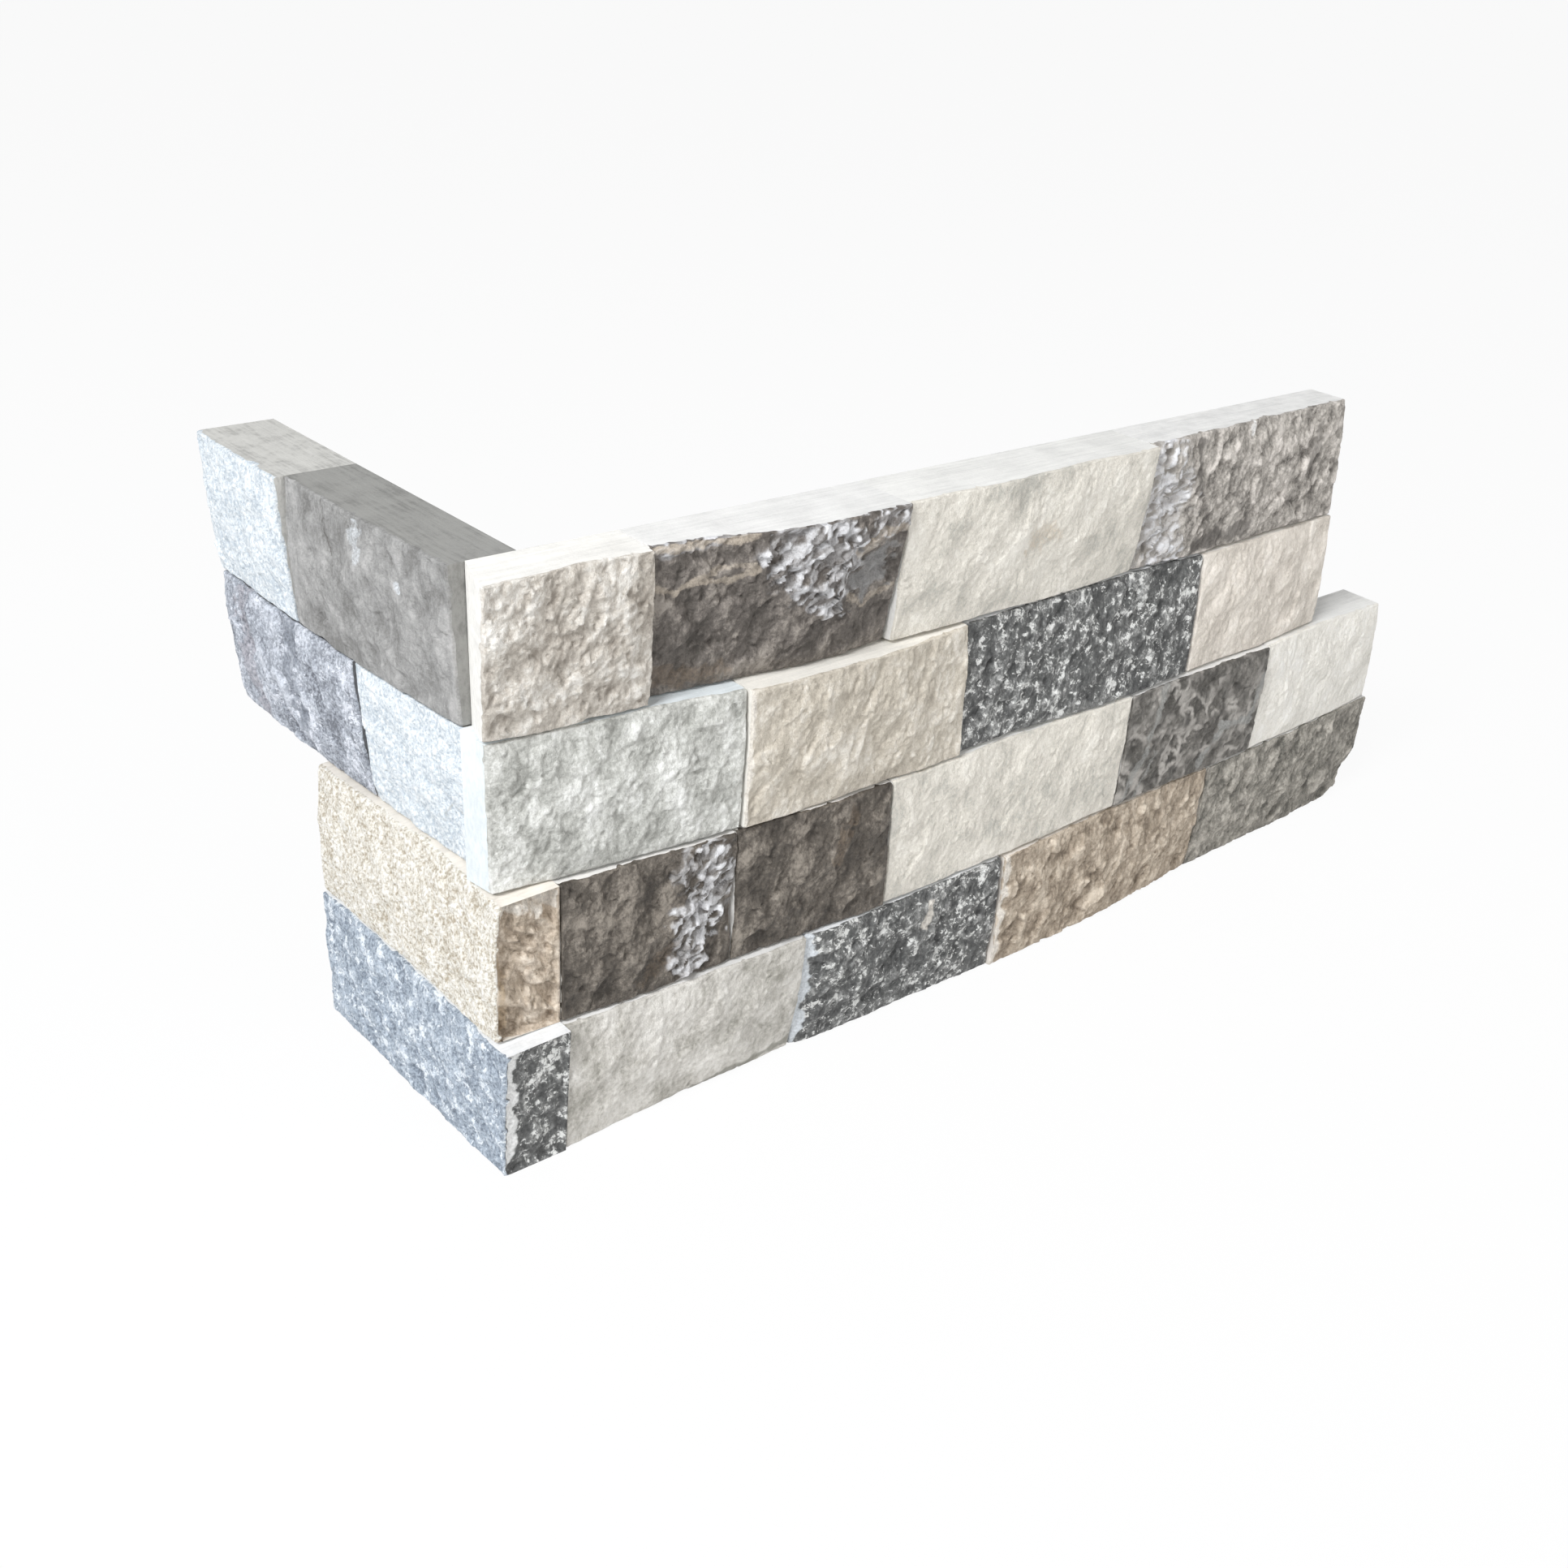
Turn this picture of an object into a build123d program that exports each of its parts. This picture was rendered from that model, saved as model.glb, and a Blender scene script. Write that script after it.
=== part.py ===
from build123d import *
import math
import os

# Corner panel of split-face ledger stone: a long wing and a short return wing, four courses high.
# Working frame in mm: the inside corner's foot is the origin, X runs along the long wing, Y along the
# return wing and Z up. The sawn back of the long wing is y = 0 and that of the return wing is x = 0.

PANEL_HEIGHT = 152.4     # four courses
LONG_WING = 343.0        # inside corner to the far end of the lower courses
LONG_STEP = 46.0         # how much shorter the upper two courses of the long wing are
RETURN_WING = 122.0      # inside corner to the far end of the upper courses
RETURN_STEP = 48.5       # how much shorter the lower two courses of the return wing are
LONG_THICK = 17.0        # stock thickness of the long wing, sawn back to a level split face
RETURN_THICK = 18.0      # stock thickness of the return wing
CREAM_SETBACK = 5.5      # top course: the return stone's sawn end shows this much beside the front stone
MARBLE_SETBACK = 2.5     # upper course: the same
TAN_SETBACK = 2.6        # lower course: how far the corner stone's end stops behind the level split face
GRANITE_PROUD = 0.2      # bottom course: how far the corner stone's end passes the level split face
SAW_SLACK = 4.5          # top and lower courses of the long wing stop this much short of their neighbours
CELL = 7.0               # facet size of the split faces
WAVE = 0.55              # swing of the split faces between the measured stations

COURSES = 4
COURSE = PANEL_HEIGHT / COURSES
TOP, UPPER, LOWER, BOTTOM = 3, 2, 1, 0
REST = None              # a stone that fills what is left of its course
ROWS = 5                 # facet rows in one course
EDGE_SHARE = 0.6         # how much of the swing reaches the arrises
FACE_SHARE = 1.6         # how much of it reaches the rest of the face

# Each stone: name, length along the wing, stations along its top arris and along its bottom arris, swell.
# A station says how far the split face stands in front of the stock thickness there (behind it if negative).
# Swell is how much further the middle of the face stands out.
LONG_COURSES = {
    TOP: [
        ("top_front_cream", 38.5, (-1.4, -2.6, -1.0), (-6.0, -3.8, -3.0), 1.2),
        ("top_front_brown", 72.0, (-3.8, -2.0, 1.4, 3.8, 4.2, 4.4), (-7.2, -5.4, -3.8, -2.2, -1.8, -3.6), 1.4),
        ("top_front_white", 95.5, (2.6, 3.2, 2.0, 2.4), (-0.4, -0.3, -0.6, -2.2), 1.2),
        ("top_front_grey", REST, (-0.6, -1.2, -2.4, -3.0, -3.3), (-2.8, -1.6, -2.0, -2.8, -3.5), 1.5),
    ],
    UPPER: [
        ("upper_front_marble", 66.5, (-6.6, -3.8, -2.4, 1.6), (-6.4, -3.4, -1.2, 0.8), 1.4),
        ("upper_front_cream", 74.5, (3.2, 4.6, 3.4, 0.8), (1.8, 2.4, 2.6), 1.0),
        ("upper_front_granite", 100.5, (0.2, -0.8, -1.8, -1.1), (0.6, 0.6, 1.8, 2.2, 0.4), 1.0),
        ("upper_front_beige", REST, (-0.4, -1.8, -3.4), (0.3, -0.4, -3.4), 1.2),
    ],
    LOWER: [
        ("lower_front_brown_1", 49.5, (-2.4, -0.4, 1.9), (-1.7, 0.4, 0.4), 1.2),
        ("lower_front_brown_2", 50.5, (1.2, 2.8, 3.2), (0.6, 2.0, 3.4), 1.2),
        ("lower_front_white", 98.0, (3.2, 2.6, 1.2, 2.0, 2.8), (2.9, 2.7, 1.2), 0.8),
        ("lower_front_veined", 69.5, (2.8, 1.8, 2.2), (1.3, 0.9, 0.7), 1.0),
        ("lower_front_end_white", REST, (1.0, -1.6, -1.4), (0.2, -0.8, -3.4), 1.2),
    ],
    BOTTOM: [
        ("bottom_front_marble", 73.0, (-0.4, 1.2, 2.2, 3.6), (-1.2, -2.4, -2.2, -2.0), 1.8),
        ("bottom_front_granite", 74.5, (4.2, 3.6, 3.1), (-0.8, 0.2, 1.6), 1.4),
        ("bottom_front_tan", 98.5, (3.8, 1.6, 0.8), (2.9, 2.2, -1.8), 1.2),
        ("bottom_front_greengrey", REST, (1.1, 0.0, -2.6), (-2.0, -2.4, -4.6), 1.2),
    ],
}
RETURN_COURSES = {
    TOP: [
        ("top_return_grey", 74.5, (-0.2, 1.0, 1.8), (-2.2, 0.5, 1.3), 1.0),
        ("top_return_white", REST, (4.2, 4.2, 3.7), (1.2, 0.8), 1.4),
    ],
    UPPER: [
        ("upper_return_white", 47.0, (-2.4, 0.2), (-5.4, -3.4), 1.0),
        ("upper_return_slate", REST, (0.7, 1.2, 0.7), (-3.2, -1.7, -1.8), 2.2),
    ],
    LOWER: [("lower_corner_tan", REST, (-1.3, -2.8, -1.4, 0.2), (0.0, -0.1, 1.2), 1.8)],
    BOTTOM: [("bottom_corner_granite", REST, (0.7, 0.4, 1.8), (0.1, 1.2, 1.8), 1.2)],
}

# In the upper courses the long wing laps the end of the return wing, in the lower ones the other way round
LONG_START = {TOP: CREAM_SETBACK - RETURN_THICK, UPPER: MARBLE_SETBACK - RETURN_THICK, LOWER: 0.0, BOTTOM: 0.0}
RETURN_START = {TOP: 0.0, UPPER: 0.0, LOWER: TAN_SETBACK - LONG_THICK, BOTTOM: -LONG_THICK - GRANITE_PROUD}
LONG_END = {
    TOP: LONG_WING - LONG_STEP - SAW_SLACK,
    UPPER: LONG_WING - LONG_STEP,
    LOWER: LONG_WING - SAW_SLACK,
    BOTTOM: LONG_WING,
}
RETURN_END = {
    TOP: RETURN_WING,
    UPPER: RETURN_WING,
    LOWER: RETURN_WING - RETURN_STEP,
    BOTTOM: RETURN_WING - RETURN_STEP,
}

# Ends that aren't square: (shift per mm of depth, shift per mm of height about the middle of the course)
START_LEAN = {"top_front_cream": (-0.32, 0.0), "bottom_corner_granite": (0.0, -0.085), "lower_corner_tan": (0.0, -0.02)}
END_LEAN = {"top_front_grey": (0.0, -0.10), "lower_front_end_white": (0.0, -0.16), "upper_front_beige": (0.0, -0.06)}
SQUARE = (0.0, 0.0)

# Hollows broken out of a split face: stone, place along it and up it as shares, width, height and depth
HOLLOWS = [
    ("top_front_brown", 0.84, 0.56, 20.0, 20.0, 3.6),
    ("top_front_grey", 0.12, 0.45, 16.0, 26.0, 2.6),
    ("lower_front_brown_1", 0.92, 0.42, 14.0, 28.0, 2.4),
    ("bottom_front_granite", 0.0, 0.5, 12.0, 60.0, 2.6),
    ("bottom_front_greengrey", 1.0, 0.1, 22.0, 24.0, 3.0),
]


def between(stations, share):
    """Height of an evenly spaced row of stations at a share of its length."""
    place = share * (len(stations) - 1)
    i = min(int(place), len(stations) - 2)
    return stations[i] + (stations[i + 1] - stations[i]) * (place - i)


def wave(x, z, number):
    """Slow swing of a split face, between -1 and 1."""
    a = math.sin(0.23 * x + 0.11 * z + 1.9 * number)
    b = math.sin(0.41 * x - 0.29 * z + 0.7 * number)
    c = math.sin(0.13 * x + 0.37 * z + 2.6 * number)
    return (a + b + c) / 3


def hollow(name, length, s, w):
    """How much is broken out of a stone's face at a share s of its length and w of its height."""
    depth = 0.0
    for stone_name, s0, w0, width, height, deep in HOLLOWS:
        if stone_name == name:
            r2 = ((s - s0) * length / (width / 2)) ** 2 + ((w - w0) * COURSE / (height / 2)) ** 2
            depth += deep * max(0.0, 1 - r2)
    return depth


def stone(name, course, start, end, thick, top, bottom, swell, number):
    """One stone lying along X with its back on y = 0 and its split face towards -Y."""
    z0, z1 = course * COURSE, (course + 1) * COURSE
    middle = (z0 + z1) / 2
    start_depth, start_height = START_LEAN.get(name, SQUARE)
    end_depth, end_height = END_LEAN.get(name, SQUARE)
    columns = max(3, round((end - start) / CELL))

    def left(t, z):
        return start + start_depth * t + start_height * (z - middle)

    def right(t, z):
        return end + end_depth * t + end_height * (z - middle)

    face = []
    for j in range(ROWS + 1):
        w = j / ROWS
        z = z0 + w * COURSE
        line = []
        for i in range(columns + 1):
            s = i / columns
            inner = 0 < j < ROWS and 0 < i < columns
            t = thick + (1 - w) * between(bottom, s) + w * between(top, s)
            t += swell * (1 - (2 * w - 1) ** 2) * (1 - 0.6 * (2 * s - 1) ** 4)
            t += WAVE * wave(start + s * (end - start), z, number) * (FACE_SHARE if inner else EDGE_SHARE)
            t -= hollow(name, end - start, s, w)
            line.append(Vector(left(t, z) + s * (right(t, z) - left(t, z)), -t, z))
        face.append(line)

    back_low = [Vector(left(0, z0), 0, z0), Vector(right(0, z0), 0, z0)]
    back_high = [Vector(left(0, z1), 0, z1), Vector(right(0, z1), 0, z1)]
    outlines = [
        [back_low[0], back_low[1], back_high[1], back_high[0]],
        [back_low[0], *face[0], back_low[1]],
        [back_high[0], *face[ROWS], back_high[1]],
        [back_low[0], *(line[0] for line in face), back_high[0]],
        [back_low[1], *(line[-1] for line in face), back_high[1]],
    ]
    for j in range(ROWS):
        for i in range(columns):
            a, b = face[j][i], face[j][i + 1]
            c, d = face[j + 1][i + 1], face[j + 1][i]
            if (i + j) % 2:
                outlines += [[a, b, c], [a, c, d]]
            else:
                outlines += [[a, b, d], [b, c, d]]
    return Solid(Shell([Face(Wire.make_polygon(points)) for points in outlines]))


def wing(courses, starts, ends, thick, first_number):
    """Every stone of a wing by name, laid along X, each starting where the one before it stops."""
    laid = {}
    for course, row in courses.items():
        start = starts[course]
        for name, length, top, bottom, swell in row:
            end = ends[course] if length is REST else start + length
            number = first_number + len(laid)
            laid[name] = stone(name, course, start, end, thick, top, bottom, swell, number)
            start = end
    return laid


stones = wing(LONG_COURSES, LONG_START, LONG_END, LONG_THICK, 1)

# The return wing is laid like the long one, then mirrored across the corner's diagonal
diagonal = Plane(origin=(0, 0, 0), z_dir=(1, -1, 0))
for name, laid in wing(RETURN_COURSES, RETURN_START, RETURN_END, RETURN_THICK, len(stones) + 1).items():
    stones[name] = mirror(laid, about=diagonal)

# The stored frame has its origin at the bottom centre of the whole panel
box = Compound(children=[solid.moved(Location((0, 0, 0))) for solid in stones.values()]).bounding_box()
shift = Pos(-(box.min.X + box.max.X) / 2, -(box.min.Y + box.max.Y) / 2, -box.min.Z)

os.makedirs("parts", exist_ok=True)
for name, solid in stones.items():
    placed = shift * solid
    placed.label = name
    export_step(placed, "parts/" + name + ".step")
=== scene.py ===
import math

import bpy
import numpy as np
from mathutils import Matrix, Vector


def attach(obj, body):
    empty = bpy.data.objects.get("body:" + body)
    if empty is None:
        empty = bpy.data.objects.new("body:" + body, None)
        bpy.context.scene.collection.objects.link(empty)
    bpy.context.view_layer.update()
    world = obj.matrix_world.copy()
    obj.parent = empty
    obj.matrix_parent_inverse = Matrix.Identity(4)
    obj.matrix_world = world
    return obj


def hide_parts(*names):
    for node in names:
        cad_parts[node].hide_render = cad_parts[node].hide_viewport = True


# Split-face ledger corner panel: every stone is rebuilt as a fine mesh over its own CAD solid,
# with a broken front, worn arrises and sawn sides, and gets its own rock material.

MM = 0.001
LEVEL_SLACK = 0.02       # CAD points this close in mm count as level

# Seeds of the stones' shapes and of the materials of sawn sides and broken ends
SHAPE_SEED = 100
SAWN_SEED = 90
END_SEED = 40

# Camera, solved from the course lines of the photograph
CAMERA_PLACE = (-0.3324, -0.3402, 0.2707)
CAMERA_AZIMUTH = -40.88
CAMERA_ELEVATION = 27.21
CAMERA_ROLL = 3.06
CAMERA_LENS = 37.62
SENSOR = 36.0

# Floor, ambient light and lamps
COOL_LIGHT = (0.97, 0.985, 1.0)
WARM_LIGHT = (1.0, 0.985, 0.96)
FLOOR_HALF = 40.0
FLOOR_GREY = (0.82, 0.82, 0.82, 1)
FLOOR_WHITE = 0.93       # share of plain white in what the camera sees of the floor
AMBIENT_COLOUR = (0.95, 0.97, 1.0, 1)
AMBIENT = 0.3
WHITE = (1, 1, 1, 1)
LAMP_TARGET = Vector((0, 0, 0.07))

# Mesh and relief of a split face, in mm
GRID = 0.45
EDGE_STEPS = (0.0, 0.14, 0.34, 0.62, 1.0)
CREASE = 26.0            # how sharply the facets of a split face meet
SLANT = math.radians(58)  # direction in which the facets are drawn out
FACET_LAYERS = ((0.75, 1.5, 1.0), (0.85, 1.7, 0.42))  # share, stretch, size as a share of the rock's lump
SMALL_FACET = 1.6
SMALL_STRETCH = 1.3
GRIT_SIZE = 0.9
CALM_EDGE = 4.0          # the relief dies down over this distance from an arris
CALM_SHARE = 0.35        # how much of it is left at the arris
FACE_DROP = 0.7          # the relief is cut into the CAD face by this much on average
LEAST_THICK = 3.0

# Arrises and joints, in mm
ARRIS_RADIUS = 0.75
WEAR_SIZE = 4.0
WEAR_SWING = 0.4
CHIP_SIZE = 2.4
CHIP_START = 0.6         # noise above this level breaks a chip out of an arris
CHIP_DEPTH = 2.6
FAR_ARRIS = 300.0        # shift that gives the opposite arris its own wear
JOINT = 0.36             # how far the front arrises stand back from the joint's middle, on average
JOINT_SWING = 0.7
JOINT_WAVE = 14.0
JOINT_REACH = 2.0        # the face draws back from a joint over this distance

# Broken ends of the corner stones, in mm
END_STEPS = 34           # mesh rows across a broken end
END_DROP = 1.3
END_DEEPEST = 3.4
END_RIM = 1.2

# Ragged borders: share and size in mm of each layer of noise
STROKE_RAGGED = ((0.65, 3.2), (0.45, 1.3))
STROKE_SOFT = 0.4        # soft border of a stroke, as a share of its half width
FRESH_RAGGED = ((0.4, 5.0), (0.35, 2.0))
FRESH_INNER = 0.75       # a fresh break and its painted glints fade between these shares of its half size
FRESH_OUTER = 1.15

# Flakes of a fresh break: size in mm, lean to one side, share in the relief and share in the brightness of
# their painted glints
COARSE_FLAKE = 4.0
COARSE_LEAN = 0.4
COARSE_RELIEF = 0.32
COARSE_GLINT = 0.2
SMALL_FLAKE = 1.4
SMALL_LEAN = 0.6
SMALL_TALL = 0.8
SMALL_RELIEF = 0.5
SMALL_GLINT = 0.8
FRESH_CALM = 0.4         # how much of the stone's own relief a fresh break takes away

# Material slots of a stone
SPLIT = 0
SAWN = 1
BROKEN_END = 2

# Sockets of a colour mix node
MIX_FACTOR = 0
MIX_A = 6
MIX_B = 7
MIX_RESULT = 2

# Bump, and the bend of the veins in mm
BUMP_HEIGHT = 0.4 * MM
SPLIT_BUMP = 0.8
SAWN_BUMP = 0.3
VEIN_BEND_SIZE = 11.0
VEIN_BEND = 26.0
DARK_SAWN = 0.6          # sawn faces with less red than this are dark

# Colours of stains, veins and chips, and of painted highlights on lit bevels and arrises
TAN_VEIN = (0.50, 0.43, 0.35)
WARM_BROWN = (0.17, 0.125, 0.085)
OCHRE = (0.52, 0.40, 0.27)
CHALK = (0.94, 0.94, 0.93)
DARK_CLAST = (0.11, 0.10, 0.09)
# Colour of a pale chip, and painted highlight on bevels and ledges that face the key lamp
PALE_CHIP_AND_LIT_BEVEL = (0.80, 0.75, 0.68)
GREY_CLOUD = (0.36, 0.36, 0.345)
OLIVE_EDGE = (0.20, 0.195, 0.16)
BLUE_WHITE = (0.76, 0.80, 0.84)
BLUE_SHADE = (0.17, 0.19, 0.225)
PLUM = (0.36, 0.31, 0.33)
SMOOTH_GREY = (0.30, 0.295, 0.29)
# Painted highlight: the silver of the glinting flakes on fresh breaks
PAINTED_GLINT = (0.80, 0.80, 0.82)

# Rocks: palette from dark to light in linear colour; colour of a sawn face, dusty and paler (near white on
# the dark
# rocks: painted highlight of their lit tops and ends), sizes in mm of the clouds and grains, and roughness;
# slope of the large facets, their size in mm, and the height of the small facets and of the grit
ROCKS = {
    "cream": dict(
        dark=(0.36, 0.32, 0.275), mid=(0.58, 0.535, 0.475), light=(0.83, 0.80, 0.75),
        sawn=(0.84, 0.82, 0.78), cloud=10.0, grain=0.9, rough=0.82,
        slope=0.13, lump=5.0, fine=0.25, grit=0.10,
    ),
    "smooth_cream": dict(
        dark=(0.43, 0.385, 0.32), mid=(0.61, 0.555, 0.47), light=(0.80, 0.755, 0.68),
        sawn=(0.82, 0.79, 0.73), cloud=11.0, grain=0.8, rough=0.78,
        slope=0.09, lump=8.0, fine=0.15, grit=0.08,
    ),
    "beige": dict(
        dark=(0.57, 0.52, 0.46), mid=(0.76, 0.70, 0.625), light=(0.88, 0.825, 0.755),
        sawn=(0.80, 0.77, 0.72), cloud=10.0, grain=0.8, rough=0.8,
        slope=0.06, lump=8.0, fine=0.11, grit=0.07,
    ),
    "white_marble": dict(
        dark=(0.52, 0.505, 0.455), mid=(0.74, 0.70, 0.625), light=(0.89, 0.855, 0.78),
        sawn=(0.84, 0.83, 0.80), cloud=13.0, grain=0.8, rough=0.6,
        slope=0.025, lump=10.0, fine=0.10, grit=0.08,
    ),
    "bright_marble": dict(
        dark=(0.68, 0.655, 0.60), mid=(0.86, 0.83, 0.765), light=(0.92, 0.90, 0.855),
        sawn=(0.86, 0.85, 0.82), cloud=14.0, grain=0.8, rough=0.6,
        slope=0.025, lump=10.0, fine=0.10, grit=0.07,
    ),
    "clouded_marble": dict(
        dark=(0.30, 0.30, 0.275), mid=(0.56, 0.56, 0.525), light=(0.86, 0.86, 0.83),
        sawn=(0.74, 0.79, 0.81), cloud=12.0, grain=0.9, rough=0.62,
        slope=0.07, lump=7.0, fine=0.16, grit=0.09,
    ),
    "sugar_marble": dict(
        dark=(0.33, 0.315, 0.275), mid=(0.59, 0.565, 0.52), light=(0.80, 0.775, 0.73),
        sawn=(0.80, 0.79, 0.77), cloud=17.0, grain=1.2, rough=0.6,
        slope=0.05, lump=8.0, fine=0.10, grit=0.10,
    ),
    "granite": dict(
        dark=(0.05, 0.051, 0.051), mid=(0.125, 0.127, 0.124), light=(0.40, 0.40, 0.39),
        sawn=(0.80, 0.81, 0.82), cloud=4.2, grain=0.8, rough=0.62,
        slope=0.13, lump=6.0, fine=0.16, grit=0.10,
        speck=(0.76, 0.76, 0.74), speck_size=1.5, speck_share=0.33,
    ),
    # A lighter, bluer copy of the granite for the corner stone's split face: painted light and sky light
    # where that face turns to the key lamp
    "painted_lit_granite": dict(
        dark=(0.17, 0.20, 0.245), mid=(0.36, 0.415, 0.485), light=(0.58, 0.64, 0.71),
        sawn=(0.80, 0.81, 0.82), cloud=5.0, grain=0.9, rough=0.7, granular=0.45,
        slope=0.11, lump=6.5, fine=0.18, grit=0.12,
        speck=(0.80, 0.84, 0.88), speck_size=1.3, speck_share=0.32,
    ),
    "brown": dict(
        dark=(0.045, 0.037, 0.029), mid=(0.115, 0.098, 0.08), light=(0.29, 0.255, 0.215),
        sawn=(0.78, 0.76, 0.73), cloud=12.0, grain=0.8, rough=0.52,
        slope=0.12, lump=7.0, fine=0.20, grit=0.08,
    ),
    "banded_brown": dict(
        dark=(0.065, 0.056, 0.047), mid=(0.145, 0.127, 0.112), light=(0.33, 0.295, 0.26),
        sawn=(0.82, 0.81, 0.79), cloud=11.0, grain=0.8, rough=0.54,
        slope=0.15, lump=6.0, fine=0.22, grit=0.09,
    ),
    "mottled": dict(
        dark=(0.14, 0.128, 0.115), mid=(0.41, 0.38, 0.345), light=(0.74, 0.69, 0.64),
        sawn=(0.82, 0.81, 0.79), cloud=6.0, grain=0.8, rough=0.74,
        slope=0.16, lump=6.0, fine=0.18, grit=0.10,
    ),
    "tan": dict(
        dark=(0.22, 0.175, 0.13), mid=(0.44, 0.365, 0.285), light=(0.70, 0.61, 0.50),
        sawn=(0.76, 0.71, 0.65), cloud=6.0, grain=0.9, rough=0.8,
        slope=0.17, lump=6.0, fine=0.19, grit=0.11,
    ),
    "rough_tan": dict(
        dark=(0.26, 0.205, 0.15), mid=(0.55, 0.46, 0.365), light=(0.82, 0.73, 0.62),
        sawn=(0.78, 0.73, 0.66), cloud=6.0, grain=0.9, rough=0.8,
        slope=0.48, lump=6.5, fine=0.30, grit=0.11,
    ),
    # A lighter copy of the rough tan for the corner stone's split face: painted light where that face turns
    # to the key lamp
    "painted_lit_tan": dict(
        dark=(0.42, 0.36, 0.275), mid=(0.72, 0.68, 0.60), light=(0.90, 0.88, 0.84),
        sawn=(0.72, 0.68, 0.62), cloud=4.5, grain=0.9, rough=0.8, granular=0.6,
        slope=0.08, lump=6.0, fine=0.18, grit=0.12,
    ),
    "veined": dict(
        dark=(0.05, 0.046, 0.04), mid=(0.115, 0.108, 0.096), light=(0.24, 0.225, 0.205),
        sawn=(0.78, 0.77, 0.75), cloud=7.0, grain=0.8, rough=0.6,
        slope=0.12, lump=6.0, fine=0.15, grit=0.09,
        vein=(0.44, 0.415, 0.385), vein_size=11.0, vein_width=0.22,
    ),
    "green_grey": dict(
        dark=(0.11, 0.105, 0.09), mid=(0.29, 0.272, 0.238), light=(0.54, 0.505, 0.45),
        sawn=(0.78, 0.77, 0.75), cloud=5.5, grain=0.8, rough=0.72,
        slope=0.14, lump=6.0, fine=0.17, grit=0.10,
    ),
    "limestone": dict(
        dark=(0.20, 0.196, 0.188), mid=(0.32, 0.316, 0.308), light=(0.46, 0.45, 0.44),
        sawn=(0.30, 0.296, 0.28), cloud=9.0, grain=0.7, rough=0.84,
        slope=0.10, lump=9.0, fine=0.13, grit=0.07,
    ),
    "slate": dict(
        dark=(0.16, 0.17, 0.195), mid=(0.39, 0.415, 0.465), light=(0.66, 0.69, 0.75),
        sawn=(0.15, 0.152, 0.16), cloud=9.0, grain=0.9, rough=0.78, granular=0.35,
        slope=0.12, lump=8.0, fine=0.18, grit=0.12,
        speck=(0.76, 0.78, 0.84), speck_size=1.3, speck_share=0.27,
    ),
    # The blue cast of this palette is painted sky light on the return wing
    "pale_speckled": dict(
        dark=(0.46, 0.52, 0.58), mid=(0.69, 0.74, 0.775), light=(0.88, 0.90, 0.91),
        sawn=(0.56, 0.55, 0.52), cloud=5.0, grain=0.9, rough=0.74, granular=0.6,
        slope=0.08, lump=7.0, fine=0.17, grit=0.12,
    ),
}

# Each stone: rock, and for the two corner stones the rock of the broken end that shows beside the long wing
STONES = {
    "top_front_cream": ("cream", None),
    "top_front_brown": ("banded_brown", None),
    "top_front_white": ("white_marble", None),
    "top_front_grey": ("mottled", None),
    "top_return_grey": ("limestone", None),
    "top_return_white": ("pale_speckled", None),
    "upper_front_marble": ("clouded_marble", None),
    "upper_front_cream": ("smooth_cream", None),
    "upper_front_granite": ("granite", None),
    "upper_front_beige": ("beige", None),
    "upper_return_white": ("pale_speckled", None),
    "upper_return_slate": ("slate", None),
    "lower_front_brown_1": ("brown", None),
    "lower_front_brown_2": ("brown", None),
    "lower_front_white": ("white_marble", None),
    "lower_front_veined": ("veined", None),
    "lower_front_end_white": ("bright_marble", None),
    "lower_corner_tan": ("painted_lit_tan", "rough_tan"),
    "bottom_front_marble": ("sugar_marble", None),
    "bottom_front_granite": ("granite", None),
    "bottom_front_tan": ("tan", None),
    "bottom_front_greengrey": ("green_grey", None),
    "bottom_corner_granite": ("painted_lit_granite", "granite"),
}

# Freshly broken patches, bright with painted glints on their flakes: stone, place along and up as shares,
# half width, half height, strength
FRESH_AND_GLINT = [
    ("top_front_brown", 0.58, 0.82, 0.22, 0.28, 1.0),
    ("top_front_brown", 0.72, 0.58, 0.15, 0.26, 0.9),
    ("top_front_brown", 0.92, 0.88, 0.10, 0.16, 0.8),
    ("top_front_brown", 0.16, 0.97, 0.20, 0.07, 0.9),
    ("top_front_grey", 0.10, 0.50, 0.11, 0.60, 1.0),
    ("lower_front_brown_1", 0.83, 0.66, 0.19, 0.38, 1.0),
    ("lower_front_brown_1", 0.72, 0.26, 0.10, 0.32, 0.9),
    ("lower_front_brown_1", 0.70, 0.86, 0.07, 0.14, 0.6),
]
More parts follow.
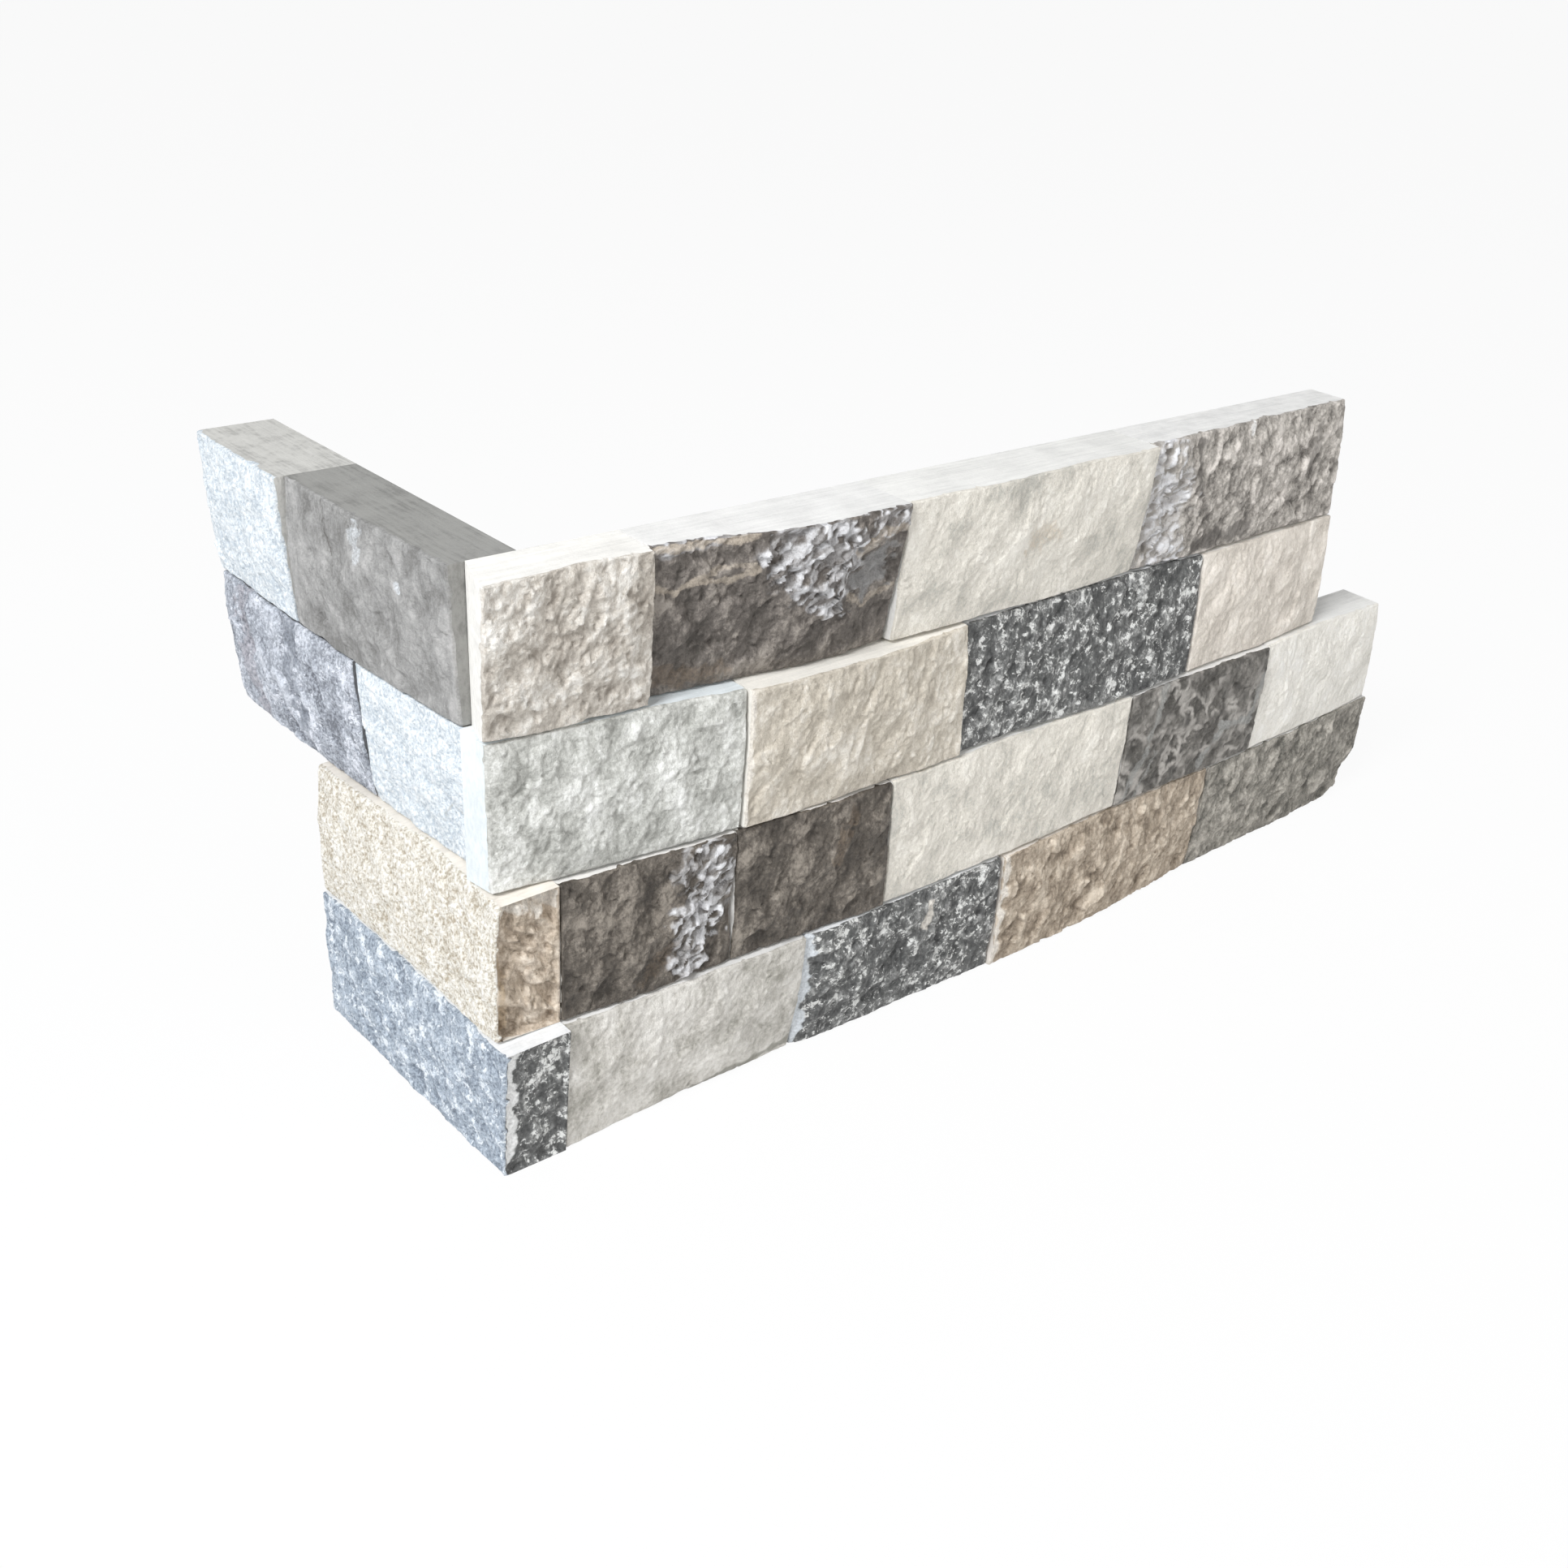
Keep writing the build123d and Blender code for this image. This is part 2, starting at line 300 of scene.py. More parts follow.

# Stains, veins, chips and painted highlights on lit bevels and arrises: stone, path of shares along and up
# it, half width in mm, colour and strength.
# On the broken end of a corner stone the first share runs from its back to its front.
BROWN_BAND = [(0.0, 0.74), (0.09, 0.68), (0.16, 0.74), (0.28, 0.71), (0.37, 0.76)]
MARKS = [
    ("top_front_brown", BROWN_BAND, 1.2, TAN_VEIN, 0.75),
    ("top_front_brown", [(0.16, 0.74), (0.24, 0.80), (0.36, 0.80)], 0.7, TAN_VEIN, 0.6),
    ("top_front_brown", [(0.02, 0.97), (0.20, 0.95), (0.36, 0.97)], 1.2, TAN_VEIN, 0.8),
    ("top_front_brown", [(0.78, 0.42), (0.86, 0.36), (0.97, 0.44)], 1.2, TAN_VEIN, 0.6),
    ("top_front_brown", [(0.80, 0.72), (0.86, 0.86), (0.97, 0.84)], 1.3, TAN_VEIN, 0.7),
    ("top_front_brown", [(0.87, 0.56), (0.89, 0.62)], 4.2, SMOOTH_GREY, 0.85),
    ("top_front_brown", [(0.05, 0.12), (0.30, 0.10)], 3.0, WARM_BROWN, 0.6),
    ("top_front_white", [(0.50, 0.50), (0.57, 0.56)], 3.5, OCHRE, 0.45),
    ("top_front_grey", [(0.50, 0.99), (0.49, 0.88)], 1.0, CHALK, 0.7),
    ("top_front_grey", [(0.27, 0.12), (0.36, 0.10)], 3.4, DARK_CLAST, 0.8),
    ("top_front_grey", [(0.44, 0.12), (0.52, 0.14)], 2.6, DARK_CLAST, 0.7),
    ("top_front_grey", [(0.84, 0.60), (0.86, 0.80)], 3.2, DARK_CLAST, 0.6),
    ("top_front_grey", [(0.24, 0.55), (0.23, 0.90)], 1.6, DARK_CLAST, 0.7),
    # Painted highlight: the left arris, facing the key lamp, painted pale
    ("upper_front_cream", [(0.0, 0.0), (0.0, 1.0)], 1.3, PALE_CHIP_AND_LIT_BEVEL, 0.9),
    ("upper_front_granite", [(0.62, 0.35), (0.74, 0.80)], 5.0, GREY_CLOUD, 0.35),
    ("upper_front_granite", [(0.30, 0.04), (0.62, 0.05)], 1.6, GREY_CLOUD, 0.5),
    ("lower_front_brown_2", [(0.62, 0.55), (0.74, 0.85)], 2.4, WARM_BROWN, 0.6),
    ("lower_front_brown_1", [(0.45, 0.10), (0.60, 0.30)], 2.4, WARM_BROWN, 0.5),
    ("lower_front_veined", [(0.05, 0.0), (0.14, 0.45), (0.24, 1.0)], 1.3, GREY_CLOUD, 0.7),
    ("lower_front_veined", [(0.14, 0.0), (0.22, 0.40)], 0.9, GREY_CLOUD, 0.6),
    ("lower_front_veined", [(0.60, 0.10), (0.72, 0.40), (0.92, 0.35), (0.98, 0.75)], 1.5, GREY_CLOUD, 0.8),
    ("bottom_front_marble", [(0.055, 0.10), (0.065, 0.11)], 2.6, GREY_CLOUD, 0.35),
    ("bottom_front_marble", [(0.45, 0.0), (0.80, 0.04), (0.99, 0.10)], 1.7, OLIVE_EDGE, 0.7),
    # The chipped left arris of the dark granite painted blue-white: a chip, and painted highlight where it
    # faces the key lamp and sky
    ("bottom_front_granite", [(0.02, 0.0), (0.02, 1.0)], 2.0, BLUE_WHITE, 0.95),
    ("bottom_front_granite", [(0.58, 0.70), (0.61, 0.86)], 1.4, PALE_CHIP_AND_LIT_BEVEL, 0.8),
    # Painted highlight: the left bevel, facing the key lamp, painted pale
    ("bottom_front_tan", [(0.01, 0.0), (0.015, 1.0)], 1.5, PALE_CHIP_AND_LIT_BEVEL, 0.9),
    ("bottom_front_greengrey", [(0.78, 0.10), (0.86, 0.85)], 5.0, DARK_CLAST, 0.45),
    ("top_return_grey", [(0.53, 0.90), (0.48, 0.80)], 2.2, BLUE_WHITE, 0.55),
    ("top_return_grey", [(0.28, 0.72), (0.27, 0.68)], 0.9, BLUE_WHITE, 0.6),
    ("top_return_grey", [(0.74, 0.98), (0.72, 0.80), (0.69, 0.66)], 0.3, DARK_CLAST, 0.8),
    ("upper_return_slate", [(0.80, 0.10), (0.82, 0.92)], 4.0, PLUM, 0.5),
    ("upper_return_slate", [(0.42, 0.15), (0.44, 0.95)], 3.6, BLUE_SHADE, 0.6),
    ("upper_return_white", [(0.24, 0.30), (0.16, 0.42), (0.10, 0.36)], 0.5, GREY_CLOUD, 0.6),
    # Painted highlight: the top ledge of the broken end painted pale, as lit from above
    ("lower_corner_tan end", [(0.05, 0.93), (0.95, 0.93)], 2.4, PALE_CHIP_AND_LIT_BEVEL, 0.9),
    ("lower_corner_tan end", [(0.90, 0.05), (0.95, 0.60)], 1.2, OCHRE, 0.7),
    # The white chipped front arris: a chip in the granite, and painted highlight where it turns to the key
    # lamp
    ("bottom_corner_granite end", [(0.95, 0.12), (0.90, 0.55), (0.96, 0.96)], 2.4, CHALK, 1.0),
]


# Shapes

def smooth_step(x, low, high):
    """0 to 1 as x goes from low to high, easing in and out."""
    t = np.clip((x - low) / (high - low), 0.0, 1.0)
    return t * t * (3 - 2 * t)


def lattice_noise(rng, x, y, size):
    """Smooth noise from -1 to 1 with features of the given size."""
    x0, y0 = x.min() - size, y.min() - size
    u, v = (x - x0) / size, (y - y0) / size
    table = rng.uniform(-1, 1, (int(v.max()) + 3, int(u.max()) + 3))
    i, j = u.astype(int), v.astype(int)
    fu, fv = u - i, v - j
    fu, fv = fu * fu * (3 - 2 * fu), fv * fv * (3 - 2 * fv)
    low = table[j, i] * (1 - fu) + table[j, i + 1] * fu
    high = table[j + 1, i] * (1 - fu) + table[j + 1, i + 1] * fu
    return low * (1 - fv) + high * fv


def layered_noise(rng, x, y, layers):
    """Sum of noises, each given by its share and size."""
    return sum(share * lattice_noise(rng, x, y, size) for share, size in layers)


def broken_facets(rng, x, y, size):
    """Tilted planes that meet along sharp creases, as split stone breaks: depth in mm at slopes of about
    1 in 1, and a level from 0 to 1 that is the same all over a facet."""
    u, v = (x - x.min()) / size + 1, (y - y.min()) / size + 1
    shape = (int(v.max()) + 3, int(u.max()) + 3)
    shift = rng.uniform(0.05, 0.95, (*shape, 2))
    tilt = rng.normal(0, 1, (*shape, 2))
    level = rng.uniform(0, 1, shape)
    i, j = u.astype(int), v.astype(int)
    depth = np.zeros_like(x)
    step = np.zeros_like(x)
    weight = np.full_like(x, 1e-12)
    for di in (-1, 0, 1):
        for dj in (-1, 0, 1):
            row, column = j + dj, i + di
            dx = u - column - shift[row, column, 0]
            dy = v - row - shift[row, column, 1]
            w = np.exp(-CREASE * (dx * dx + dy * dy))
            depth += w * (tilt[row, column, 0] * dx + tilt[row, column, 1] * dy)
            step += w * level[row, column]
            weight += w
    step = step / weight
    return size * (depth / weight + step - 0.5), step


def split_relief(rng, x, y, rock):
    """Depth of a split face about its mean, in mm: broken facets, slanting and small ones, and grit."""
    along = x * math.cos(SLANT) + y * math.sin(SLANT)
    across = y * math.cos(SLANT) - x * math.sin(SLANT)
    body = np.zeros_like(x)
    for share, stretch, size in FACET_LAYERS:
        body += share * broken_facets(rng, along / stretch, across, rock["lump"] * size)[0]
    small = broken_facets(rng, along / SMALL_STRETCH, across, SMALL_FACET)[0]
    grit = lattice_noise(rng, x, y, GRIT_SIZE)
    return rock["slope"] * body + rock["fine"] * small + rock["grit"] * grit


def stroke(rng, x, y, path, half_width):
    """How much a ragged stroke along a path, all in mm, covers each point, from 0 to 1."""
    nearest = np.full_like(x, np.inf)
    for (ax, ay), (bx, by) in zip(path[:-1], path[1:]):
        dx, dy = bx - ax, by - ay
        t = np.clip(((x - ax) * dx + (y - ay) * dy) / (dx * dx + dy * dy), 0, 1)
        nearest = np.minimum(nearest, np.hypot(x - ax - t * dx, y - ay - t * dy))
    reach = half_width * (1 + layered_noise(rng, x, y, STROKE_RAGGED))
    return smooth_step(reach - nearest, -STROKE_SOFT * half_width, STROKE_SOFT * half_width)


def spread(low, high):
    """Mesh stations from low to high in mm, closer together near both ends."""
    inner_low, inner_high = low + EDGE_STEPS[-1], high - EDGE_STEPS[-1]
    count = max(2, round((inner_high - inner_low) / GRID))
    middle = np.linspace(inner_low, inner_high, count + 1)
    edge = np.array(EDGE_STEPS[:-1])
    return np.concatenate([low + edge, middle, (high - edge)[::-1]])


def cubic_rows(grid, places):
    """A grid of values read at fractional row places, on a smooth curve through the rows."""
    last = len(grid) - 1
    i = np.clip(places.astype(int), 0, last - 1)
    t = (places - i)[:, None]
    p0, p1 = grid[np.maximum(i - 1, 0)], grid[i]
    p2, p3 = grid[i + 1], grid[np.minimum(i + 2, last)]
    return p1 + 0.5 * t * (p2 - p0 + t * (2 * p0 - 5 * p1 + 4 * p2 - p3 + t * (3 * (p1 - p2) + p3 - p0)))


class Face:
    """The split face of a CAD stone in mm, as (along the wing, out from the sawn back, up)."""

    def __init__(self, node):
        points = np.array([v.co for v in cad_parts[node].data.vertices]) / MM
        points = np.unique(np.round(points, 3), axis=0)
        self.on_return = "return" in node or "corner" in node
        along, out = (1, 0) if self.on_return else (0, 1)
        self.back = points[:, out].max()
        local = np.stack([points[:, along], self.back - points[:, out], points[:, 2]], 1)
        on_back = local[:, 1] < LEVEL_SLACK
        self.back_corners = local[on_back]
        front = local[~on_back]
        levels = np.unique(np.round(front[:, 2], 2))
        rows = [front[np.abs(front[:, 2] - z) < LEVEL_SLACK] for z in levels]
        self.grid = np.array([row[np.argsort(row[:, 0])] for row in rows])
        self.low, self.high = levels[0], levels[-1]
        self.length = np.ptp(self.grid[:, :, 0])
        self.limit = local[:, 1].max()

    def sample(self, along, up):
        """Points of the CAD face at shares along and up."""
        rows = self.grid.shape[0] - 1
        columns = self.grid.shape[1] - 1
        layers = []
        for k in range(3):
            tall = cubic_rows(self.grid[:, :, k], up * rows)
            layers.append(cubic_rows(tall.T, along * columns).T)
        return layers

    def back_edge(self, up):
        """Where the back's two upright edges stand at a share of the height."""
        z = self.low + up * (self.high - self.low)
        ends = []
        for pick in (np.argmin, np.argmax):
            low = self.back_corners[np.abs(self.back_corners[:, 2] - self.low) < LEVEL_SLACK]
            high = self.back_corners[np.abs(self.back_corners[:, 2] - self.high) < LEVEL_SLACK]
            a, b = low[pick(low[:, 0]), 0], high[pick(high[:, 0]), 0]
            ends.append(a + (b - a) * (z - self.low) / (self.high - self.low))
        return ends

    def place(self, along, out, up):
        """Local mm to metres in the shared frame."""
        depth = self.back - out
        x, y = (depth, along) if self.on_return else (along, depth)
        return np.stack([x, y, up], -1).reshape(-1, 3) * MM


class StoneMesh:
    """Gathers the points, faces and point values of one stone."""

    def __init__(self, face):
        self.face = face
        self.count = 0
        self.points = []
        self.quads = []
        self.kinds = []
        self.layers = {"fresh": [], "glint": [], "hollow": []}
        self.marks = []

    def add_points(self, along, out, up, mark=None, **values):
        """Adds points given in local mm and returns their numbers."""
        self.points.append(self.face.place(along, out, up))
        for name, layer in self.layers.items():
            layer.append(values[name].ravel() if name in values else np.zeros(along.size))
        self.marks.append(np.zeros((along.size, 4)) if mark is None else mark.reshape(-1, 4))
        start = self.count
        self.count += along.size
        return np.arange(start, self.count).reshape(along.shape)

    def add_grid(self, grid, kind):
        """Joins a grid of point numbers by four-sided faces of one material slot."""
        corners = [grid[:-1, :-1], grid[:-1, 1:], grid[1:, 1:], grid[1:, :-1]]
        quads = np.stack(corners, -1).reshape(-1, 4)
        self.quads.append(quads[:, ::-1] if self.face.on_return else quads)
        self.kinds.append(np.full(len(quads), kind))

    def make(self, name, rim):
        """The stone as an object, with one sawn face across the rim of its back."""
        back = rim if self.face.on_return else rim[::-1]
        faces = np.concatenate(self.quads).tolist() + [back.tolist()]
        kinds = np.concatenate(self.kinds + [np.array([SAWN])]).astype(np.int32)
        mesh = bpy.data.meshes.new(name)
        mesh.from_pydata(np.concatenate(self.points).tolist(), [], faces)
        mesh.polygons.foreach_set("material_index", kinds)
        mesh.polygons.foreach_set("use_smooth", kinds != SAWN)
        for layer_name, values in self.layers.items():
            layer = mesh.attributes.new(layer_name, "FLOAT", "POINT")
            layer.data.foreach_set("value", np.concatenate(values).astype(np.float32))
        layer = mesh.attributes.new("mark", "FLOAT_COLOR", "POINT")
        layer.data.foreach_set("color", np.concatenate(self.marks).astype(np.float32).ravel())
        mesh.update()
        stone = bpy.data.objects.new(name, mesh)
        bpy.context.scene.collection.objects.link(stone)
        return stone


def arris_drop(rng, distance, other):
    """How far a worn arris falls back from the face, by distance from the edge; chipped here and there."""
    line = np.zeros_like(other)
    wear = lattice_noise(rng, other, line, WEAR_SIZE)
    chip = np.maximum(0, lattice_noise(rng, other, line, CHIP_SIZE) - CHIP_START) * CHIP_DEPTH
    r = ARRIS_RADIUS * (1 + WEAR_SWING * wear) + chip
    reach = np.clip(1 - distance / r, 0, 1)
    return r * (1 - np.sqrt(1 - reach ** 2))


def fresh_breaks(rng, node, s, w, x, y):
    """How freshly broken a face is at each point, from 0 to 1; the same mask places the painted glints."""
    fresh = np.zeros_like(s)
    for stone, s0, w0, half_s, half_w, strength in FRESH_AND_GLINT:
        if stone == node:
            r = np.hypot((s - s0) / half_s, (w - w0) / half_w) + layered_noise(rng, x, y, FRESH_RAGGED)
            fresh = np.maximum(fresh, strength * smooth_step(-r, -FRESH_OUTER, -FRESH_INNER))
    return fresh


def painted_marks(rng, name, s, w, length, height):
    """Colour and cover of the stains, veins, chips and painted highlights on a face, as red, green, blue
    and cover.
    """
    mark = np.zeros((*s.shape, 4))
    for stone, path, half_width, colour, strength in MARKS:
        if stone == name:
            path_mm = [(a * length, b * height) for a, b in path]
            cover = strength * stroke(rng, s * length, w * height, path_mm, half_width)
            mark[..., :3] += (np.array(colour) - mark[..., :3]) * (cover > 0.01)[..., None]
            mark[..., 3] = np.maximum(mark[..., 3], cover)
    return mark


def broken_end(rng, face, node, rock, front, back, depth):
    """Points and marks of a corner stone's broken end, from its back edge to its front arris."""
    (front_a, front_out, front_z), (back_a, back_z) = front, back
    steps = np.linspace(1, 0, END_STEPS + 2)[-2:0:-1]
    share = np.repeat(steps[None, :], len(front_a), 0)
    along = back_a + share * (front_a - back_a)
    out = share * front_out
    up = back_z + share * (front_z - back_z)
    rim = np.minimum(np.minimum(out, front_out - out), np.minimum(up - face.low, face.high - up))
    relief = split_relief(rng, out, up, rock)
    along = along + np.clip(END_DROP + relief, 0, END_DEEPEST) * smooth_step(rim, 0, END_RIM)
    height = face.high - face.low
    mark = painted_marks(rng, node + " end", share, (up - face.low) / height, depth, height)
    return along, out, up, mark


def build_stone(node, number):
    """The visual mesh of one stone: split front, worn arrises, sawn or broken sides and a sawn back."""
    rock_name, end_rock = STONES[node]
    rng = np.random.default_rng(SHAPE_SEED + number)
    face = Face(node)
    height = face.high - face.low
    along = spread(0, face.length) / face.length
    up = spread(0, height) / height
    a, out, z = face.sample(along, up)
    s, w = np.meshgrid(along, up)
    x, y = s * face.length, w * height
    from_end = np.minimum(x, face.length - x)
    from_bed = np.minimum(y, height - y)

    relief = split_relief(rng, x, y, ROCKS[rock_name])
    fresh = fresh_breaks(rng, node, s, w, x, y)
    coarse, coarse_glint = broken_facets(rng, x - COARSE_LEAN * y, y, COARSE_FLAKE)
    small, small_glint = broken_facets(rng, x - SMALL_LEAN * y, SMALL_TALL * y, SMALL_FLAKE)
    flakes = COARSE_RELIEF * coarse + SMALL_RELIEF * small
    relief = relief * (1 - FRESH_CALM * fresh) + fresh * flakes
    glint = COARSE_GLINT * coarse_glint + SMALL_GLINT * small_glint
    mark = painted_marks(rng, node, s, w, face.length, height)
    calm = smooth_step(np.minimum(from_bed, from_end), 0, CALM_EDGE)
    relief = relief * (CALM_SHARE + (1 - CALM_SHARE) * calm)

    drop = arris_drop(rng, from_bed, x + FAR_ARRIS * (w > 0.5))
    drop += arris_drop(rng, from_end, y + FAR_ARRIS * (s > 0.5))
    out = np.minimum(out - FACE_DROP + relief, face.limit) - drop
    out = np.maximum(out, LEAST_THICK)

    # The front arrises stand back from the joints, except on the bed that the panel stands on
    open_joint = JOINT * (1 + JOINT_SWING * lattice_noise(rng, x, y, JOINT_WAVE))
    near_end = 1 - smooth_step(from_end, 0, JOINT_REACH)
    near_bed = 1 - smooth_step(from_bed, 0, JOINT_REACH)
    lift = 1 if face.low > LEVEL_SLACK else 0
    a = a + open_joint * near_end * np.where(s < 0.5, 1, -1)
    z = z + open_joint * near_bed * np.where(w < 0.5, lift, -1)

    mesh = StoneMesh(face)
    front = mesh.add_points(a, out, z, mark, fresh=fresh, glint=glint, hollow=relief)
    mesh.add_grid(front, SPLIT)

    # Back ring, shared by the beds, the ends and the back
    left, right = face.back_edge(up)
    back_a = left[:, None] + s * (right - left)[:, None]
    back_z = np.repeat((face.low + up * height)[:, None], len(along), 1)
    edge = np.zeros(s.shape, bool)
    edge[[0, -1]] = True
    edge[:, [0, -1]] = True
    ring = np.full(s.shape, -1)
    ring[edge] = mesh.add_points(back_a[edge], np.zeros(edge.sum()), back_z[edge])
    mesh.add_grid(np.stack([ring[0], front[0]]), SAWN)
    mesh.add_grid(np.stack([front[-1], ring[-1]]), SAWN)
    mesh.add_grid(np.stack([front[:, -1], ring[:, -1]], 1), SAWN)

    if end_rock is None:
        mesh.add_grid(np.stack([ring[:, 0], front[:, 0]], 1), SAWN)
    else:
        # The end that shows beside the long wing is broken too
        front_edge = (a[:, :1], out[:, :1], z[:, :1])
        back_edge = (back_a[:, :1], back_z[:, :1])
        end = broken_end(rng, face, node, ROCKS[end_rock], front_edge, back_edge, out.max())
        inner = mesh.add_points(*end)
        mesh.add_grid(np.concatenate([ring[:, :1], inner, front[:, :1]], 1), BROKEN_END)

    rim = np.concatenate([ring[0, :], ring[1:, -1], ring[-1, -2::-1], ring[-2:0:-1, 0]])
    return mesh.make(node + "_stone", rim)


# Materials

class Shader:
    """A material's node tree, with short calls to add and join nodes."""

    def __init__(self, name):
        self.material = bpy.data.materials.new(name)
        self.material.use_nodes = True
        self.tree = self.material.node_tree
        self.principled = self.tree.nodes["Principled BSDF"]

    def add(self, kind, inputs=(), **settings):
        node = self.tree.nodes.new(kind)
        for key, value in settings.items():
            setattr(node, key, value)
        for key, value in dict(inputs).items():
            self.feed(node.inputs[key], value)
        return node

    def feed(self, socket, value):
        """Links another node's output to a socket, or sets the socket's own value."""
        if isinstance(value, bpy.types.NodeSocket):
            self.tree.links.new(value, socket)
        else:
            socket.default_value = value

    def math(self, operation, a, b):
        return self.add("ShaderNodeMath", {0: a, 1: b}, operation=operation).outputs[0]

    def weighted(self, *parts):
        """Sum of values, each times its share."""
        products = [self.math("MULTIPLY", value, share) for value, share in parts]
        total = products[0]
        for product in products[1:]:
            total = self.math("ADD", total, product)
        return total

    def sway(self, value, noise, amount):
        """A value moved up and down by a noise."""
        swing = self.math("MULTIPLY", self.math("SUBTRACT", noise, 0.5), amount)
        return self.math("ADD", value, swing)

    def mapping(self, vector, **settings):
        return self.add("ShaderNodeMapping", {"Vector": vector, **settings}).outputs[0]

    def noise(self, vector, size, detail, roughness=0.55, distortion=0.0):
        inputs = {"Vector": vector, "Scale": 1 / size, "Detail": detail}
        inputs.update({"Roughness": roughness, "Distortion": distortion})
        return self.add("ShaderNodeTexNoise", inputs).outputs["Fac"]

    def ramp(self, factor, stops):
        node = self.add("ShaderNodeValToRGB", {"Fac": factor})
        elements = node.color_ramp.elements
        while len(elements) < len(stops):
            elements.new(0.5)
        for element, (place, colour) in zip(elements, stops):
            element.position = place
            element.color = (*colour, 1)
        return node.outputs["Color"]

    def mix(self, factor, a, b, blend="MIX"):
        node = self.add("ShaderNodeMix", data_type="RGBA", blend_type=blend)
        self.feed(node.inputs[MIX_FACTOR], factor)
        self.feed(node.inputs[MIX_A], a)
        self.feed(node.inputs[MIX_B], (*b, 1) if isinstance(b, tuple) else b)
        return node.outputs[MIX_RESULT]

    def span(self, value, low, high):
        """0 to 1 as value goes from low to high."""
        inputs = {0: value, 1: low, 2: high}
        return self.add("ShaderNodeMapRange", inputs, interpolation_type="SMOOTHSTEP").outputs[0]

    def attribute(self, name, output="Fac"):
        return self.add("ShaderNodeAttribute", attribute_name=name).outputs[output]


def shade(colour, amount):
    """A colour made darker or lighter."""
    return tuple(min(c * amount, 1.0) for c in colour)


def mingle(a, b, share):
    """Colour a with a share of colour b."""
    return tuple((1 - share) * c + share * d for c, d in zip(a, b))


def rock_material(name, rock_name, seed, sawn=False):
    """Rock with clouds, slanting streaks, grain, and whatever specks, veins and fresh breaks with painted
    glints it has.
    """
    rock = ROCKS[rock_name]
    sh = Shader(name)
    place = sh.add("ShaderNodeTexCoord").outputs["Object"]
    offset = (seed * 37.0, seed * 11.0, seed * 53.0)
    mm = sh.mapping(place, Scale=(1000, 1000, 1000), Location=offset)
    grain = sh.noise(mm, rock["grain"], 3.0, 0.7)
    if sawn:
        colour, height = sawn_look(sh, mm, rock, grain)
    else:
        colour, height = split_look(sh, mm, rock, grain)
    roughness = sh.math("ADD", rock["rough"] - 0.1, sh.math("MULTIPLY", grain, 0.2))
    strength = SAWN_BUMP if sawn else SPLIT_BUMP
    bump = {"Height": height, "Strength": strength, "Distance": BUMP_HEIGHT}
    sh.feed(sh.principled.inputs["Base Color"], colour)
    sh.feed(sh.principled.inputs["Roughness"], roughness)
    sh.feed(sh.principled.inputs["Normal"], sh.add("ShaderNodeBump", bump).outputs[0])
    return sh.material


def sawn_look(sh, mm, rock, grain):
    """Colour and bump of a sawn face: dusty, with faint clouds and saw scratches along the wing; the near
    white of the dark rocks' sawn faces is painted highlight of their lit tops and ends.
    """
    pale = rock["sawn"]
    # The dark sawn stones are those of the return wing, which runs along Y
    is_dark = pale[0] < DARK_SAWN
    stretch = (1.0, 0.06, 0.5) if is_dark else (0.06, 1.0, 0.5)
    scratch = sh.noise(sh.mapping(mm, Scale=stretch), 1.1, 3.0, 0.65)
    cloud = sh.noise(mm, rock["cloud"], 3.0, 0.6)
    blend = sh.weighted((cloud, 0.4), (scratch, 0.4), (grain, 0.2))
    deep = shade(pale, 0.72 if is_dark else 0.88)
    colour = sh.ramp(blend, [(0.38, deep), (0.5, pale), (0.62, shade(pale, 1.1))])
    return colour, sh.math("ADD", scratch, grain)


